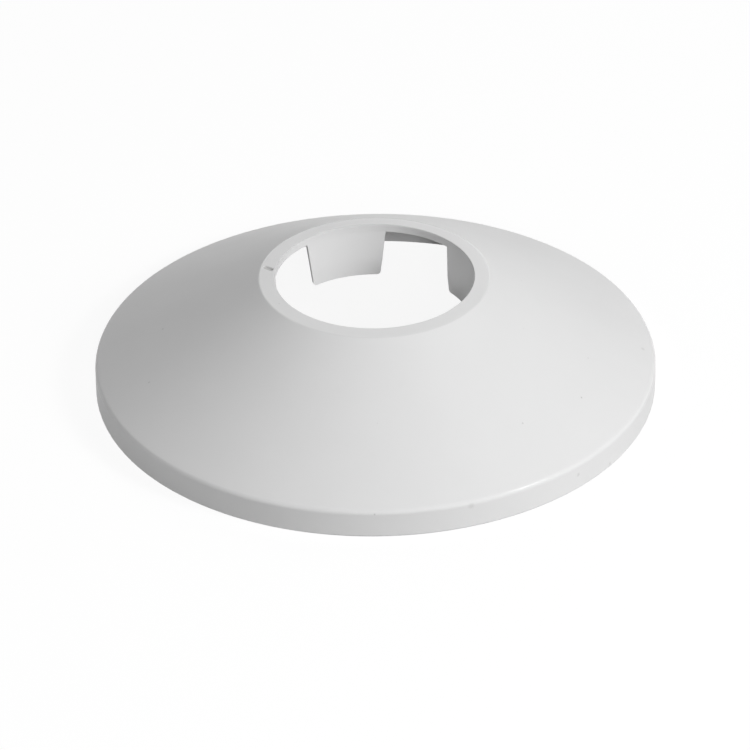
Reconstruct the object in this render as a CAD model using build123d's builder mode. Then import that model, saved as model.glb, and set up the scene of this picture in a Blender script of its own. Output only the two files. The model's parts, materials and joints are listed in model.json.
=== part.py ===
import os
from math import atan2, cos, radians, sin, tan

from build123d import *

# Pipe escutcheon: one moulded collar, in millimetres, +Z up, with its open underside on the plane Z = 0.

pipe_dia = 40.0  # waste pipe that the tongues close on
pipe_slack = 0.5  # room between the pipe and the edge of the hole, all round
land_width = 3.2  # ring between the hole and the cone
land_rise = 0.3  # how far that ring still climbs towards the hole
cone_run = 34.3  # how far the cone spreads outward
cone_rise = 19.4  # how far the cone climbs
skirt_height = 5.9  # upright band below the cone
wall = 1.6  # thickness of skirt and cone
lip_height = 1.7  # upright edge of the hole

rim_bevel = 0.4  # outer edge that meets the wall of the room
shoulder_round = 1.2  # between skirt and cone
land_round = 1.3  # between cone and land
hole_bevel = 0.2  # between land and hole

tongue_count = 4
first_tongue = 17.8  # degrees from +X to the middle of the first tongue
tongue_spread = 49.4  # degrees of the hole that the root of one tongue takes up
tongue_taper = 1.3  # loss of width on each side from root to tip
tongue_drop = 10.2  # how far a tongue hangs below the land
grip_length = 3.6  # upright stretch at the tip that touches the pipe
root_thickness = 1.2
tip_thickness = 0.8
tip_round = 0.8  # lower corners of a tongue

scar_angle = 170.9  # degrees from +X to the gate scar on the land
scar_inset = 1.6  # from the edge of the hole to the middle of the scar
scar_lean = -32.0  # degrees that the scar leans off the line to the axis
scar_length = 2.7
scar_width = 1.2
scar_depth = 0.4  # below the top of the hole's edge

# Sizes that follow from these.
grip_r = pipe_dia / 2
hole_r = grip_r + pipe_slack
land_r = hole_r + land_width
outer_r = land_r + cone_run
land_z = skirt_height + cone_rise
height = land_z + land_rise
under_land = height - lip_height
tip_z = under_land - tongue_drop
root_half = hole_r * sin(radians(tongue_spread / 2))
tip_half = root_half - tongue_taper

# Where the hollow side bends, one wall thickness in from the skirt and the cone.
slope = atan2(cone_rise, cone_run)
land_bend_r = land_r - (wall / cos(slope) - land_z + under_land) / tan(slope)
skirt_bend_z = skirt_height - wall * tan(radians(45) - slope / 2)

with BuildPart() as tongue:
    # A thin ring that leans in from the hole towards the pipe, then stands upright.
    with BuildSketch(Plane.XZ):
        with BuildLine():
            Polyline(
                (hole_r, under_land),
                (grip_r, tip_z + grip_length),
                (grip_r, tip_z),
                (grip_r + tip_thickness, tip_z),
                (hole_r + root_thickness, under_land),
                close=True,
            )
        make_face()
    revolve(axis=Axis.Z)
    # One tapering tongue with round lower corners is kept of it.
    with BuildSketch(Plane.YZ) as blade:
        with BuildLine():
            Polyline(
                (-root_half, under_land),
                (-tip_half, tip_z),
                (tip_half, tip_z),
                (root_half, under_land),
                close=True,
            )
        make_face()
        fillet(blade.vertices().group_by(Axis.Y)[0], radius=tip_round)
    extrude(amount=outer_r, mode=Mode.INTERSECT)

with BuildPart() as collar:
    # Skirt, cone and land as one turned section.
    with BuildSketch(Plane.XZ) as section:
        with BuildLine():
            Polyline(
                (outer_r - wall, 0),
                (outer_r, 0),
                (outer_r, skirt_height),
                (land_r, land_z),
                (hole_r, height),
                (hole_r, under_land),
                (land_bend_r, under_land),
                (outer_r - wall, skirt_bend_z),
                close=True,
            )
        make_face()
        fillet(section.vertices().sort_by_distance((outer_r, skirt_height))[0], radius=shoulder_round)
        fillet(section.vertices().sort_by_distance((land_r, land_z))[0], radius=land_round)
        chamfer(section.vertices().sort_by_distance((outer_r, 0))[0], length=rim_bevel)
        chamfer(section.vertices().sort_by_distance((hole_r, height))[0], length=hole_bevel)
    revolve(axis=Axis.Z)

    with PolarLocations(0, tongue_count, start_angle=first_tongue):
        add(tongue.part)

    # The gate scar is a shallow oblong pocket.
    with BuildSketch(Plane.XY.offset(height)):
        with PolarLocations(hole_r + scar_inset, 1, start_angle=scar_angle):
            SlotOverall(scar_length, scar_width, rotation=scar_lean)
    extrude(amount=-scar_depth, mode=Mode.SUBTRACT)

collar.part.label = "collar"
os.makedirs("parts", exist_ok=True)
export_step(collar.part, "parts/collar.step")
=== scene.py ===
"""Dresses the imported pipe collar: one satin white moulding on a pale studio floor."""

import json
from math import atan2, cos, pi, radians, sin, tan

import bmesh
import bpy
import numpy as np
from bpy.props import FloatProperty, IntProperty, PointerProperty, StringProperty
from mathutils import Matrix, Vector


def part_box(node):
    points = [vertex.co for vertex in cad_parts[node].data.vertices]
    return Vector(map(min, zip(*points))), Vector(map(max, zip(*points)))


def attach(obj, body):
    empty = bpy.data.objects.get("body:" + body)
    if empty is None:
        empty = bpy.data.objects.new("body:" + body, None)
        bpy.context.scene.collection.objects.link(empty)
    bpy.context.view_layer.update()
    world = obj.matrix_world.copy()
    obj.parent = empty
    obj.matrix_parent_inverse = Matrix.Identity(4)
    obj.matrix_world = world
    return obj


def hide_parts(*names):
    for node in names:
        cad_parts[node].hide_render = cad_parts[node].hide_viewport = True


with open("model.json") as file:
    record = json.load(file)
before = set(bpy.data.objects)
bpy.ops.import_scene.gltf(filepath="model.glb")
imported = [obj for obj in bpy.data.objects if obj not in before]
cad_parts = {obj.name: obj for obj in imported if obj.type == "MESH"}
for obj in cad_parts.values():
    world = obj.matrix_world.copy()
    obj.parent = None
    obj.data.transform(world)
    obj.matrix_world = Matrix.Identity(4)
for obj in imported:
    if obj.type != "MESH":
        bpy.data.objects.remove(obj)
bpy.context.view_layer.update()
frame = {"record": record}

bl_info = {
    "name": "Pipe Collar",
    "version": (1, 0, 0),
    "blender": (4, 5, 0),
    "location": "3D View > Sidebar > Pipe Collar",
    "description": "Builds the look of a moulded pipe collar on its packed frame",
    "category": "Object",
}

MM = 0.001
NODE = "collar"
PIPE_GRIP = next(m for m in frame["record"]["mounts"] if m["name"] == "pipe_grip")

# How many grid points each stretch of the moulding has.
ARC_POINTS = 8  # each rounded corner
OUTSIDE_POINTS = (6, 9, 17, 33, 7)  # rim, skirt, cone, land and lip
INSIDE_CONE_POINTS = 17
INSIDE_SKIRT_POINTS = 5
UNDERSIDE_POINTS = 6  # from a tongue's root to the bend under the cone
TONGUE_OUTLINE_POINTS = (17, 17, 17)  # one side, the tip and the other side
TONGUE_DEPTH_POINTS = 15
TONGUE_EDGE_POINTS = 5  # across a tongue's thickness
GAP_POINTS = 31  # between two tongues
SCAR_POINTS = 49  # across the gate scar

SCAR_WALL = 0.2 * MM  # how far the wall of the scar runs inward on its way down
MERGE_DISTANCE = 0.002 * MM
SHARP_ANGLE = radians(30)

# Sizes of the patterns in the plastic.
PIGMENT_DRIFT = 14 * MM
SPECK_CELL = 7 * MM  # each cube of this size holds one small speck, and few of them meet the surface
SMALL_SPECK = 0.16 * MM  # radius of one
FRAY_GRAIN = 0.4 * MM  # size of the frays at the edge of a speck
FRAY_REACH = 0.3 * MM  # how far they move it
GRAIN_WIDTH = 0.35 * MM
GRAIN_DEPTH = 0.006 * MM

# Shares of its width from its centre, up to which a listed speck is full and from which it is gone.
SPECK_FULL = 0.2
SPECK_GONE = 0.6

# Grey specks in the moulding: turn from +X in degrees, distance from the axis, height and width in mm,
# and strength.
SPECKS = (
    (269.5, 58.0, 5.4, 0.45, 0.30),
    (288.8, 58.0, 5.1, 1.40, 0.12),
    (314.3, 58.0, 3.4, 0.90, 0.16),
    (324.5, 58.0, 0.8, 0.80, 0.18),
    (309.2, 46.6, 12.4, 0.40, 0.30),
    (329.1, 48.6, 11.2, 0.45, 0.35),
    (343.5, 45.4, 13.1, 0.35, 0.30),
    (359.4, 55.4, 7.4, 1.00, 0.14),
    (181.5, 43.8, 14.0, 0.45, 0.35),
    (199.9, 49.2, 10.9, 0.45, 0.25),
)

# Softboxes: azimuth from the front towards the right and elevation in degrees, width in metres,
# and whether gloss shows it.
SOFTBOXES = {
    "key": (62, 32, 0.45, False),
    "glint": (62, 32, 0.2, True),
    "front": (4, 29, 0.2, False),
    "fill": (-70, 25, 0.5, False),
    "back": (180, 30, 0.8, True),
}
FLOOR_REACH = 4.0  # metres from the middle of the floor to its sides
FLOOR_LIGHT = 0.75  # how bright these lamps make a white floor
SENSOR_WIDTH = 36.0  # mm


def length(name, description, mm):
    """A size in metres whose default is written in millimetres."""
    return FloatProperty(name=name, description=description, default=mm * MM, precision=5, unit="LENGTH")


def turn(name, description, deg):
    """An angle in radians whose default is written in degrees."""
    return FloatProperty(name=name, description=description, default=radians(deg), subtype="ANGLE")


def share(name, description, default):
    """A plain number from 0 to 1."""
    return FloatProperty(name=name, description=description, default=default, min=0, max=1, subtype="FACTOR")


def power(name, description, watts):
    """Power of a lamp in watts."""
    return FloatProperty(name=name, description=description, default=watts, unit="POWER")


def colour(name, description, default):
    """A colour written as an sRGB hex value."""
    return StringProperty(name=name, description=description, default=default)


class CollarSizes(bpy.types.PropertyGroup):
    """Sizes of the moulding. Its outer radius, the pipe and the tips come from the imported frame."""

    pipe_slack: length("Pipe slack", "Room between the pipe and the edge of the hole", 0.5)
    land_width: length("Land", "Ring between the hole and the cone", 3.2)
    land_rise: length("Land rise", "How far that ring still climbs towards the hole", 0.3)
    cone_rise: length("Cone rise", "How far the cone climbs", 19.4)
    skirt_height: length("Skirt", "Upright band below the cone", 5.9)
    wall: length("Wall", "Thickness of skirt and cone", 1.6)
    lip_height: length("Lip", "Upright edge of the hole", 1.7)
    rim_round: length("Rim round", "Outer edge that lies against the wall of the room", 0.4)
    shoulder_round: length("Shoulder round", "Bend between skirt and cone", 1.2)
    land_round: length("Land round", "Bend between cone and land", 1.3)
    hole_round: length("Hole round", "Bend between land and hole", 0.2)

    tongue_count: IntProperty(name="Tongues", description="Tongues round the hole", default=4, min=1)
    first_tongue: turn("First tongue", "From +X to the middle of the first tongue", 17.8)
    tongue_spread: turn("Tongue spread", "Turn of the hole that the root of one tongue takes up", 49.4)
    tongue_taper: length("Tongue taper", "Loss of width on each side from root to tip", 1.3)
    root_thickness: length("Root thickness", "Thickness of a tongue where it hangs from the land", 1.2)
    tip_thickness: length("Tip thickness", "Thickness of a tongue at its tip", 0.8)
    tip_round: length("Tip round", "Lower corners of a tongue", 0.8)

    scar_angle: turn("Scar angle", "From +X to the gate scar on the land", 170.9)
    scar_lean: turn("Scar lean", "How far the scar leans off the line to the axis", -32.0)
    scar_inset: length("Scar inset", "From the edge of the hole to the middle of the scar", 1.6)
    scar_length: length("Scar length", "Length of the scar", 2.7)
    scar_width: length("Scar width", "Width of the scar", 1.2)
    scar_depth: length("Scar depth", "Floor of the scar below the top of the hole's edge", 0.4)


class CollarFinish(bpy.types.PropertyGroup):
    """Colours and surface of the plastic."""

    white: colour("White", "Body colour of the plastic", "#F0F0F0")
    drift: colour("Drift", "White that it drifts to over about a centimetre", "#ECECEC")
    speck: colour("Speck", "Specks of burnt plastic and dirt", "#6E6C68")
    # Painted shade: the grey of the gate scar stands in for the shade in its pocket.
    scar: colour("Scar", "Torn plastic of the gate scar", "#CACAC9")
    satin: share("Satin", "Roughness of the moulded face", 0.4)
    satin_drift: share("Satin drift", "How far that roughness drifts up and down", 0.03)
    rubbed: share("Rubbed", "Roughness of the bends, which rub smooth", 0.14)
    gloss: share("Gloss", "Strength of the reflection, where 0.5 is bare polished plastic", 0.18)
    # Painted shade: how dark the line painted along the bend at the edge of the hole is.
    hole_edge_shade: share("Edge grime", "Dirt that sits in the edge of the hole", 0.2)
    small_specks: share("Small specks", "Strength of the smallest specks", 0.2)


class StageSettings(bpy.types.PropertyGroup):
    """Camera, lamps and floor."""

    distance: length("Distance", "From the camera to what it looks at", 1115.0)
    elevation: turn("Elevation", "How far the camera looks down", 32.35)
    roll: turn("Roll", "How far the camera leans about its own line of sight", -0.67)
    lens: FloatProperty(name="Lens", description="Focal length", default=257.8, unit="CAMERA")
    aim_x: length("Aim X", "Point looked at, across", -0.11)
    aim_z: length("Aim Z", "Point looked at, up", 1.38)
    floor: colour("Floor", "Colour of the studio floor", "#9C9C9C")
    shadow: share("Shadow", "How much of the shadow on the floor the camera sees", 0.12)
    key_power: power("Key", "Softbox at the right", 3.5)
    glint_power: power("Glint", "Hot middle of the key", 3.4)
    front_power: power("Front", "Small softbox below the camera", 2.7)
    fill_power: power("Fill", "Low softbox at the left", 1.6)
    back_power: power("Back", "Wide softbox behind", 3.1)
    ambient: share("Ambient", "Light of the white room", 0.01)


def linear(hex_colour):
    """Turns an sRGB hex value into linear red, green, blue and an alpha of 1."""
    srgb = np.array([int(hex_colour[i : i + 2], 16) for i in (1, 3, 5)]) / 255
    value = np.where(srgb <= 0.04045, srgb / 12.92, ((srgb + 0.055) / 1.055) ** 2.4)
    return (*value.tolist(), 1.0)


def add_node(tree, kind, settings=None, **inputs):
    """Adds a shader node. An input is a link where it is (node, output), and a value otherwise.

    An input is named with _ for each space, or by its number as i0, i1 and so on.
    """
    node = tree.nodes.new(kind)
    for key, value in (settings or {}).items():
        setattr(node, key, value)
    for key, value in inputs.items():
        socket = node.inputs[int(key[1:]) if key[1:].isdigit() else key.replace("_", " ")]
        if isinstance(value, tuple) and isinstance(value[0], bpy.types.Node):
            tree.links.new(value[0].outputs[value[1]], socket)
        else:
            socket.default_value = value
    return node


def straight(start, end, count):
    """Evenly spaced points on the line from start to end, both included."""
    part = np.linspace(0, 1, count)[:, None]
    return np.array(start) * (1 - part) + np.array(end) * part


def crowded(count):
    """Shares from 0 to 1 that crowd towards both ends, as half a turn of a cosine does."""
    return 0.5 - 0.5 * np.cos(pi * np.linspace(0, 1, count))[:, None]


def rounded_path(corners, radii, run_points):
    """Points along a polyline whose inner corners are arcs, and how far into its arc each point is.

    At a corner with unit vectors a and b along its two runs, the arc's middle lies on a + b, and the arc
    starts radius / tan(half the angle between them) away from the corner. Points crowd towards the ends of
    a run. The second result is 0 on runs and follows half a sine wave over each arc.
    """
    corners = np.array(corners, float)
    sweep = np.linspace(0, 1, ARC_POINTS)[:, None]
    start, points, bends = corners[0], [], []
    for before, corner, after, radius, count in zip(corners, corners[1:], corners[2:], radii, run_points):
        a = (before - corner) / np.linalg.norm(before - corner)
        b = (after - corner) / np.linalg.norm(after - corner)
        half = np.arccos(np.clip(a @ b, -1, 1)) / 2
        middle = corner + (a + b) / np.linalg.norm(a + b) * radius / np.sin(half)
        first = corner + a * radius / np.tan(half)
        last = corner + b * radius / np.tan(half)
        chord = (first - middle) * (1 - sweep) + (last - middle) * sweep
        arc = middle + chord / np.linalg.norm(chord, axis=1, keepdims=True) * radius
        run = start + (first - start) * crowded(count)[:-1]
        points += [run, arc[:-1]]
        bends += [np.zeros(len(run)), np.sin(pi * sweep[:-1, 0])]
        start = arc[-1]
    run = start + (corners[-1] - start) * crowded(run_points[-1])
    points.append(run)
    bends.append(np.zeros(len(run)))
    return np.vstack(points), np.concatenate(bends)


class Section:
    """The collar's section in radius and height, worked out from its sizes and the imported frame."""

    def __init__(self, s):
        low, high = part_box(NODE)
        self.outer = (high[0] - low[0]) / 2
        self.grip = PIPE_GRIP["dims"]["r_mm"] * MM
        self.grip_length = PIPE_GRIP["dims"]["length_mm"] * MM
        self.hole = self.grip + s.pipe_slack
        self.land = self.hole + s.land_width
        self.land_z = s.skirt_height + s.cone_rise
        self.top = self.land_z + s.land_rise
        self.under = self.top - s.lip_height
        self.drop = self.under - PIPE_GRIP["pos_m"][2] + self.grip_length / 2
        slope = atan2(s.cone_rise, self.outer - self.land)
        inner = self.outer - s.wall
        corners = [
            (inner, 0),
            (self.outer, 0),
            (self.outer, s.skirt_height),
            (self.land, self.land_z),
            (self.hole, self.top),
            (self.hole, self.under),
        ]
        rounds = [s.rim_round, s.shoulder_round, s.land_round, s.hole_round]
        self.outside, self.bends = rounded_path(corners, rounds, OUTSIDE_POINTS)
        # The hollow side bends one wall thickness in from the skirt and the cone.
        land_bend = self.land - (s.wall / cos(slope) - self.land_z + self.under) / tan(slope)
        skirt_bend = s.skirt_height - s.wall * tan(pi / 4 - slope / 2)
        cone = straight((land_bend, self.under), (inner, skirt_bend), INSIDE_CONE_POINTS)
        skirt = straight((inner, skirt_bend), (inner, 0), INSIDE_SKIRT_POINTS)
        self.inside = np.vstack([cone, skirt[1:]])


def columns(s, section):
    """The collar's columns in order round the axis: the turn each starts from, its side offset and its depth.

    A tongue's outline is a trapezium with round lower corners, in side offset and depth below the land. Each
    of its points is a column that starts from the tongue's middle. Between tongues the columns have neither
    offset nor depth, and crowd at the scar.
    """
    root = section.hole * sin(s.tongue_spread / 2)
    tip = root - s.tongue_taper
    corners = [(-root, 0), (-tip, section.drop), (tip, section.drop), (root, 0)]
    outline, _ = rounded_path(corners, [s.tip_round, s.tip_round], TONGUE_OUTLINE_POINTS)
    pitch = 2 * pi / s.tongue_count
    scar = s.scar_angle + np.linspace(-1, 1, SCAR_POINTS) * s.scar_width / section.hole
    parts = []
    for middle in s.first_tongue + pitch * np.arange(s.tongue_count):
        gap = np.linspace(s.tongue_spread / 2, pitch - s.tongue_spread / 2, GAP_POINTS)
        extra = (scar - middle) % (2 * pi)
        gap = np.union1d(gap, extra[(extra > gap[0]) & (extra < gap[-1])])
        parts.append([np.full(len(outline), middle), outline[:, 0], outline[:, 1]])
        parts.append([middle + gap, 0 * gap, 0 * gap])
    return np.concatenate(parts, 1)


def sunk_in_scar(s, section, outside):
    """How far each point of the outside is sunk in the gate scar, from 0 to 1.

    The scar is all that lies within half its width of a straight stretch, which makes it a rounded slot. The
    value is 3 t squared less 2 t cubed, where t grows from 0 at the slot's edge to 1 at the foot of its wall.
    """
    x, y = outside[..., 0], outside[..., 1]
    outward = x * cos(s.scar_angle) + y * sin(s.scar_angle) - section.hole - s.scar_inset
    aside = y * cos(s.scar_angle) - x * sin(s.scar_angle)
    along = outward * cos(s.scar_lean) + aside * sin(s.scar_lean)
    across = aside * cos(s.scar_lean) - outward * sin(s.scar_lean)
    past_end = np.clip(np.abs(along) - (s.scar_length - s.scar_width) / 2, 0, None)
    t = np.clip((s.scar_width / 2 - np.hypot(past_end, across)) / SCAR_WALL, 0, 1)
    return t * t * (3 - 2 * t)


def collar_surface(s):
    """Points of the whole moulding, on a grid of columns round the axis by rows round the section.

    The grid closes both ways. Its rows run over the outside, down the inside of the tongues, across their
    tips, up their outside, along the underside from a tongue's root straight to the bend, and down the inside
    of cone and skirt. In the scar the outside sinks to a flat floor. Also gives three values for each point:
    how far it is sunk in the scar, how far it is into a bend, and the same for the bend at the hole alone.
    """
    section = Section(s)
    middle, side, depth = columns(s, section)[:, :, None]
    angle = middle + np.arctan2(side, np.sqrt(section.hole**2 - side**2))

    def turned(profile):
        """A profile in radius and height, turned by each column's angle."""
        r, z = profile.T[:, None, :]
        return np.stack([r * np.cos(angle), r * np.sin(angle), z + 0 * angle], 2)

    def tongue_face(down, thick):
        """Points of the tongues at shares of their depth, and at one share of their thickness.

        At side offset y and radius r, a point's distance along the tongue's middle is the root of r squared
        less y squared. The radius of the inner face falls evenly from the hole to the pipe, and then stays.
        That of the outer face falls evenly from root to tip.
        """
        d = depth * down
        lean = np.clip(d / (section.drop - section.grip_length), 0, 1)
        inner = section.hole + (section.grip - section.hole) * lean
        root = section.hole + s.root_thickness
        tip = section.grip + s.tip_thickness
        outer = root + (tip - root) * d / section.drop
        r = inner + (outer - inner) * thick
        along = np.sqrt(r**2 - side**2)
        x = along * np.cos(middle) - side * np.sin(middle)
        y = along * np.sin(middle) + side * np.cos(middle)
        return np.stack([x, y, section.under - d], 2)

    outside = turned(section.outside)
    inside = turned(section.inside)
    down = np.linspace(0, 1, TONGUE_DEPTH_POINTS)
    inner_face = tongue_face(down[1:], 0.0)
    thicks = np.linspace(0, 1, TONGUE_EDGE_POINTS)[1:]
    tip_face = np.concatenate([tongue_face(np.ones(1), thick) for thick in thicks], 1)
    outer_face = tongue_face(down[-2::-1], 1.0)
    across = np.linspace(0, 1, UNDERSIDE_POINTS)[1:-1, None]
    underside = outer_face[:, -1:] * (1 - across) + inside[:, :1] * across

    sunk = sunk_in_scar(s, section, outside)
    outside[..., 2] -= sunk * np.clip(outside[..., 2] - section.top + s.scar_depth, 0, None)

    points = np.concatenate([outside, inner_face, tip_face, outer_face, underside, inside[:, :-1]], 1)
    values = {key: np.zeros(points.shape[:2]) for key in ("scar", "bend", "edge")}
    rows = len(section.outside)
    # The share sunk in the scar also greys its colour, as painted shade in the pocket.
    values["scar"][:, :rows] = sunk
    values["bend"][:, :rows] = section.bends
    # The bend at the hole alone carries the painted shade along the edge of the hole.
    values["edge"][:, :rows] = section.bends * (section.outside[:, 0] < section.hole + s.hole_round)
    return points, values


def closed_grid_mesh(name, points, values):
    """A mesh on a grid of points that closes both ways, with meeting points merged and sharp bends marked."""
    around, along = points.shape[:2]
    v, u = np.meshgrid(np.arange(around), np.arange(along), indexing="ij")
    after_v, after_u = (v + 1) % around, (u + 1) % along
    corners = [v * along + u, after_v * along + u, after_v * along + after_u, v * along + after_u]
    mesh = bpy.data.meshes.new(name)
    mesh.from_pydata(points.reshape(-1, 3), [], np.stack(corners, 2).reshape(-1, 4))
    for key, value in values.items():
        mesh.attributes.new(key, "FLOAT", "POINT").data.foreach_set("value", value.ravel())
    work = bmesh.new()
    work.from_mesh(mesh)
    bmesh.ops.remove_doubles(work, verts=work.verts, dist=MERGE_DISTANCE)
    work.to_mesh(mesh)
    work.free()
    mesh.shade_smooth()
    mesh.set_sharp_from_angle(angle=SHARP_ANGLE)
    return mesh


def ragged_specks(tree, place, finish):
    """Adds the nodes that give the strength of the speck at each place, which is 0 where there is none.

    There is a sparse scatter of small specks, and there are the larger ones of the list. Noise frays them: it
    moves each place before the distance to a speck's centre is taken. Its mean is a half, so the centres of
    the list move by half its reach too.
    """
    fray = add_node(
        tree,
        "ShaderNodeTexNoise",
        Vector=(place, "Object"),
        Scale=1 / FRAY_GRAIN,
        Detail=1.0,
    )
    frayed = add_node(
        tree,
        "ShaderNodeVectorMath",
        {"operation": "MULTIPLY_ADD"},
        i0=(fray, "Color"),
        i1=(FRAY_REACH, FRAY_REACH, FRAY_REACH),
        i2=(place, "Object"),
    )
    scatter = add_node(
        tree,
        "ShaderNodeTexVoronoi",
        Vector=(frayed, "Vector"),
        Scale=1 / SPECK_CELL,
    )
    specks = add_node(
        tree,
        "ShaderNodeMapRange",
        Value=(scatter, "Distance"),
        From_Min=0.5 * SMALL_SPECK / SPECK_CELL,
        From_Max=SMALL_SPECK / SPECK_CELL,
        To_Min=finish.small_specks,
        To_Max=0.0,
    )
    for speck_turn, radius, height, width, strength in SPECKS:
        centre = np.array([radius * cos(radians(speck_turn)), radius * sin(radians(speck_turn)), height])
        away = add_node(
            tree,
            "ShaderNodeVectorMath",
            {"operation": "DISTANCE"},
            i0=(frayed, "Vector"),
            i1=tuple(centre * MM + FRAY_REACH / 2),
        )
        speck = add_node(
            tree,
            "ShaderNodeMapRange",
            Value=(away, "Value"),
            From_Min=SPECK_FULL * width * MM,
            From_Max=SPECK_GONE * width * MM,
            To_Min=strength,
            To_Max=0.0,
        )
        specks = add_node(
            tree,
            "ShaderNodeMath",
            {"operation": "MAXIMUM"},
            i0=(specks, 0),
            i1=(speck, "Result"),
        )
    return specks


def satin_polypropylene(finish):
    """Polypropylene, moulded in a tool with a fine spark-eroded face.

    It gives the eye an even, slightly grey white with a soft sheen. Bends have rubbed smoother, and a few
    specks are grey. Painted shade greys the gate scar and darkens the edge of the hole.
    """
    material = bpy.data.materials.new("polypropylene_moulded_satin")
    material.use_nodes = True
    tree = material.node_tree
    tree.nodes.clear()
    place = add_node(tree, "ShaderNodeTexCoord")
    scar = add_node(tree, "ShaderNodeAttribute", {"attribute_name": "scar"})
    bend = add_node(tree, "ShaderNodeAttribute", {"attribute_name": "bend"})
    edge = add_node(tree, "ShaderNodeAttribute", {"attribute_name": "edge"})

    # Pigment and sheen drift slowly.
    flow = add_node(
        tree,
        "ShaderNodeTexNoise",
        Vector=(place, "Object"),
        Scale=1 / PIGMENT_DRIFT,
        Detail=3.0,
    )
    white = add_node(
        tree,
        "ShaderNodeMix",
        {"data_type": "RGBA"},
        i0=(flow, "Fac"),
        i6=linear(finish.white),
        i7=linear(finish.drift),
    )
    sheen = add_node(
        tree,
        "ShaderNodeMapRange",
        Value=(flow, "Fac"),
        From_Min=0.3,
        From_Max=0.7,
        To_Min=finish.satin - finish.satin_drift,
        To_Max=finish.satin + finish.satin_drift,
    )
    roughness = add_node(
        tree,
        "ShaderNodeMix",
        i0=(bend, "Fac"),
        i2=(sheen, "Result"),
        i3=finish.rubbed,
    )

    # Specks all over, and painted shade: a dark line along the edge of the hole.
    # Real specks plus the painted shade at the edge of the hole.
    darkening = add_node(
        tree,
        "ShaderNodeMath",
        {"operation": "MULTIPLY_ADD"},
        i0=(edge, "Fac"),
        i1=finish.hole_edge_shade,
        i2=(ragged_specks(tree, place, finish), 0),
    )
    specked = add_node(
        tree,
        "ShaderNodeMix",
        {"data_type": "RGBA"},
        i0=(darkening, "Value"),
        i6=(white, 2),
        i7=linear(finish.speck),
    )
    # Painted shade: the gate scar turns grey, standing in for the shade in its pocket.
    body = add_node(
        tree,
        "ShaderNodeMix",
        {"data_type": "RGBA"},
        i0=(scar, "Fac"),
        i6=(specked, 2),
        i7=linear(finish.scar),
    )

    # Spark-eroded grain, drawn coarser than the real 0.05 mm, which is too fine to show.
    grain = add_node(
        tree,
        "ShaderNodeTexNoise",
        Vector=(place, "Object"),
        Scale=1 / GRAIN_WIDTH,
        Detail=2.0,
    )
    bump = add_node(
        tree,
        "ShaderNodeBump",
        Strength=0.6,
        Distance=GRAIN_DEPTH,
        Height=(grain, "Fac"),
    )
    shader = add_node(
        tree,
        "ShaderNodeBsdfPrincipled",
        Base_Color=(body, 2),
        Roughness=(roughness, 0),
        Normal=(bump, "Normal"),
        IOR=1.49,
        Specular_IOR_Level=finish.gloss,
    )
    add_node(tree, "ShaderNodeOutputMaterial", Surface=(shader, "BSDF"))
    return material


class COLLAR_OT_moulding(bpy.types.Operator):
    """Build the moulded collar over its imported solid"""

    bl_idname = "collar.moulding"
    bl_label = "Moulded collar"

    def execute(self, context):
        scene = context.scene
        mesh = closed_grid_mesh("moulded_collar", *collar_surface(scene.collar_sizes))
        mesh.materials.append(satin_polypropylene(scene.collar_finish))
        piece = bpy.data.objects.new("moulded_collar", mesh)
        scene.collection.objects.link(piece)
        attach(piece, "root")
        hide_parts(NODE)
        return {"FINISHED"}


def shown_rays(tree):
    """1 for rays that show the background: from the camera, off gloss and through glass."""
    path = add_node(tree, "ShaderNodeLightPath")
    camera_or_gloss = add_node(
        tree,
        "ShaderNodeMath",
        {"operation": "MAXIMUM"},
        i0=(path, "Is Camera Ray"),
        i1=(path, "Is Glossy Ray"),
    )
    return add_node(
        tree,
        "ShaderNodeMath",
        {"operation": "MAXIMUM"},
        i0=(camera_or_gloss, "Value"),
        i1=(path, "Is Transmission Ray"),
    )


def matt_board(hex_colour, shadow):
    """Matt pale board: it lights the object as its colour does, shows as white, and keeps the shadow."""
    material = bpy.data.materials.new("board_matt_pale")
    material.use_nodes = True
    tree = material.node_tree
    tree.nodes.clear()
    board = add_node(tree, "ShaderNodeBsdfDiffuse", Color=linear(hex_colour))
    shade = add_node(tree, "ShaderNodeBsdfDiffuse", Color=(shadow, shadow, shadow, 1))
    glow = add_node(tree, "ShaderNodeEmission", Color=(1, 1, 1, 1), Strength=1 - FLOOR_LIGHT * shadow)
    white = add_node(tree, "ShaderNodeAddShader", i0=(shade, "BSDF"), i1=(glow, "Emission"))
    shown = add_node(
        tree,
        "ShaderNodeMixShader",
        i0=(shown_rays(tree), "Value"),
        i1=(board, "BSDF"),
        i2=(white, "Shader"),
    )
    add_node(tree, "ShaderNodeOutputMaterial", Surface=(shown, "Shader"))
    return material


def white_room(ambient):
    """World that lights evenly, and shows as white."""
    world = bpy.data.worlds.new("white_room")
    world.use_nodes = True
    tree = world.node_tree
    tree.nodes.clear()
    room = add_node(tree, "ShaderNodeBackground", Color=(1, 1, 1, 1), Strength=ambient)
    white = add_node(tree, "ShaderNodeBackground", Color=(1, 1, 1, 1), Strength=1.0)
    shown = add_node(
        tree,
        "ShaderNodeMixShader",
        i0=(shown_rays(tree), "Value"),
        i1=(room, "Background"),
        i2=(white, "Background"),
    )
    add_node(tree, "ShaderNodeOutputWorld", Surface=(shown, "Shader"))
    return world


def softbox(name, azimuth, elevation, width, watts, shine):
    """A square area lamp, one metre from the origin and facing it.

    Without shine it is polarised, so that gloss doesn't show it.
    """
    lamp = bpy.data.lights.new(name, "AREA")
    lamp.size = width
    lamp.energy = watts
    place = Vector((sin(azimuth) * cos(elevation), -cos(azimuth) * cos(elevation), sin(elevation)))
    holder = bpy.data.objects.new(name, lamp)
    holder.matrix_world = Matrix.Translation(place) @ place.to_track_quat("Z", "Y").to_matrix().to_4x4()
    holder.visible_glossy = shine
    bpy.context.scene.collection.objects.link(holder)


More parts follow.
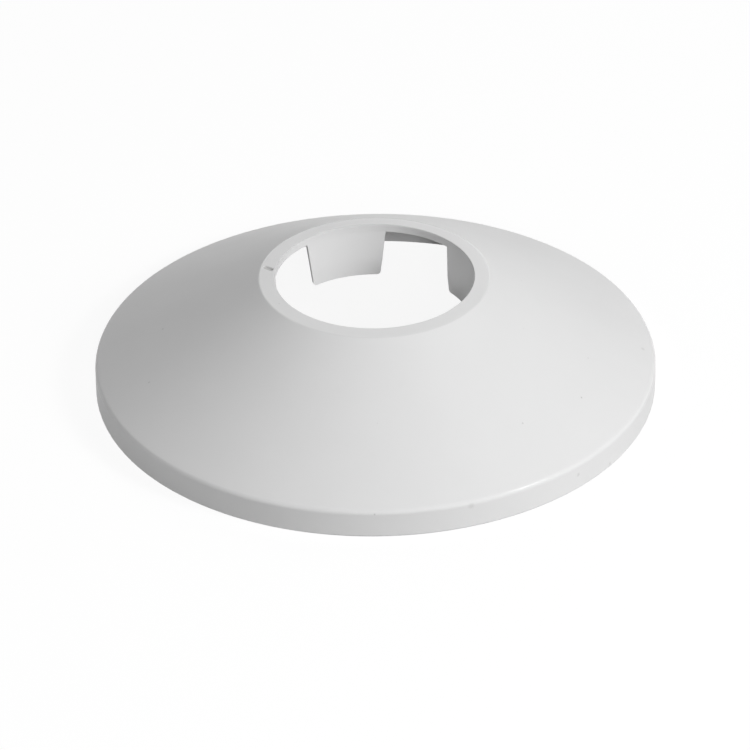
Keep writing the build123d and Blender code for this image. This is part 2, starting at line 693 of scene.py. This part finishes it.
class COLLAR_OT_stage(bpy.types.Operator):
    """Set up the floor, the lamps, the white room and the camera"""

    bl_idname = "collar.stage"
    bl_label = "Studio stage"

    def execute(self, context):
        scene = context.scene
        stage = scene.collar_stage
        mesh = bpy.data.meshes.new("studio_floor")
        reach = FLOOR_REACH
        corners = [(-reach, -reach, 0), (reach, -reach, 0), (reach, reach, 0), (-reach, reach, 0)]
        mesh.from_pydata(corners, [], [(0, 1, 2, 3)])
        mesh.materials.append(matt_board(stage.floor, stage.shadow))
        floor = bpy.data.objects.new("studio_floor", mesh)
        scene.collection.objects.link(floor)

        for name, (azimuth, elevation, width, shine) in SOFTBOXES.items():
            watts = getattr(stage, f"{name}_power")
            softbox(f"{name}_softbox", radians(azimuth), radians(elevation), width, watts, shine)
        scene.world = white_room(stage.ambient)

        lens = bpy.data.cameras.new("photo_camera")
        lens.lens = stage.lens
        lens.sensor_width = SENSOR_WIDTH
        camera = bpy.data.objects.new("photo_camera", lens)
        aim = Matrix.Translation((stage.aim_x, 0, stage.aim_z))
        tip = Matrix.Rotation(pi / 2 - stage.elevation, 4, "X")
        lean = Matrix.Rotation(stage.roll, 4, "Z")
        camera.matrix_world = aim @ tip @ lean @ Matrix.Translation((0, 0, stage.distance))
        scene.collection.objects.link(camera)
        scene.camera = camera
        scene.view_settings.view_transform = "Standard"
        return {"FINISHED"}


STEPS = (COLLAR_OT_moulding, COLLAR_OT_stage)
GROUPS = {"collar_sizes": CollarSizes, "collar_finish": CollarFinish, "collar_stage": StageSettings}


class COLLAR_PT_sidebar(bpy.types.Panel):
    """Lists the steps that build the collar and its stage, and the settings they use"""

    bl_idname = "COLLAR_PT_sidebar"
    bl_label = "Pipe Collar"
    bl_space_type = "VIEW_3D"
    bl_region_type = "UI"
    bl_category = "Pipe Collar"

    def draw(self, context):
        for step in STEPS:
            self.layout.operator(step.bl_idname)
        for name, group in GROUPS.items():
            for key in group.__annotations__:
                self.layout.prop(getattr(context.scene, name), key)


CLASSES = (*GROUPS.values(), *STEPS, COLLAR_PT_sidebar)


def register():
    """Registers the classes and gives the scene their settings."""
    for cls in CLASSES:
        bpy.utils.register_class(cls)
    for name, group in GROUPS.items():
        setattr(bpy.types.Scene, name, PointerProperty(type=group))


def unregister():
    """Takes the settings off the scene and removes the classes."""
    for name in GROUPS:
        delattr(bpy.types.Scene, name)
    for cls in reversed(CLASSES):
        bpy.utils.unregister_class(cls)


def main():
    """Builds the collar and its stage."""
    register()
    bpy.ops.collar.moulding()
    bpy.ops.collar.stage()


if __name__ == "__main__":
    main()
